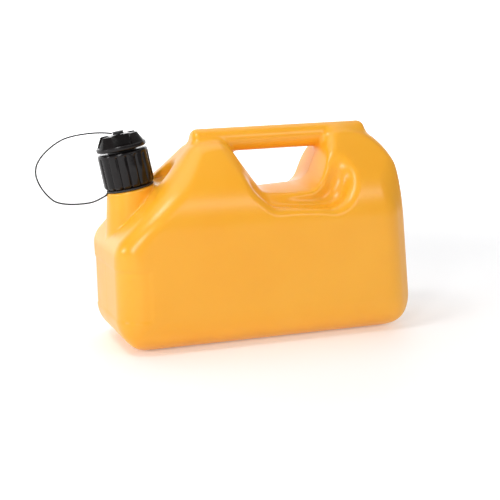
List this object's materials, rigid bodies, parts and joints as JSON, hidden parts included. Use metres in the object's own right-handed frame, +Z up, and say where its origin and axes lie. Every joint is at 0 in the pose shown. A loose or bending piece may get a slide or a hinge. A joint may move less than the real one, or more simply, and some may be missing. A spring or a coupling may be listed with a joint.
{
  "type": "jerry can",
  "caption": "Blow-moulded plastic jerry can with a handle bar over a finger window, a leaning neck, a ribbed screw collar, a castellated plug and a cord tether.",
  "frame": {"origin": "on the floor, under the middle of the can and its closure", "axes": "+Z up, +X along the can away from the neck, +Y across the can to its far side"},
  "size_m": [0.3581, 0.134, 0.2058],
  "materials": {
    "orange_polyethylene": "satin blow-moulded",
    "black_plastic": "gloss injection-moulded",
    "cord_plastic": "satin",
    "seal_rubber": "matte"
  },
  "bodies": {
    "can": {"tank": "orange_polyethylene"},
    "spout": {"spout_base": "black_plastic", "spout_hose": "black_plastic", "spout_nozzle": "black_plastic", "neck_gasket": "seal_rubber", "tether_ring": "cord_plastic"},
    "collar": {"collar": "black_plastic"},
    "tether_end": {"tether_button": "cord_plastic", "tether": "cord_plastic"},
    "plug": {"plug": "black_plastic", "plug_seal": "seal_rubber"}
  },
  "joints": [
    {"name": "collar_lift", "type": "slide", "parent": "can", "child": "spout", "axis": [-0.1822, 0, 0.9833], "range_m": [0, 0.0122]},
    {"name": "collar_turn", "type": "hinge", "parent": "spout", "child": "collar", "pos_m": [-0.1191, 0, 0.1503], "axis": [-0.1822, 0, 0.9833], "range_deg": [0, 1080]},
    {"name": "plug_lift", "type": "slide", "parent": "spout", "child": "tether_end", "axis": [-0.1822, 0, 0.9833], "range_m": [0, 0.0047]},
    {"name": "plug_turn", "type": "hinge", "parent": "tether_end", "child": "plug", "pos_m": [-0.1191, 0, 0.1503], "axis": [-0.1822, 0, 0.9833], "range_deg": [0, 540]}
  ],
  "couplings": [
    {"joint": "collar_lift", "follows": "collar_turn", "m_per_rad": 0.00063662},
    {"joint": "plug_lift", "follows": "plug_turn", "m_per_rad": 0.00047746}
  ]
}
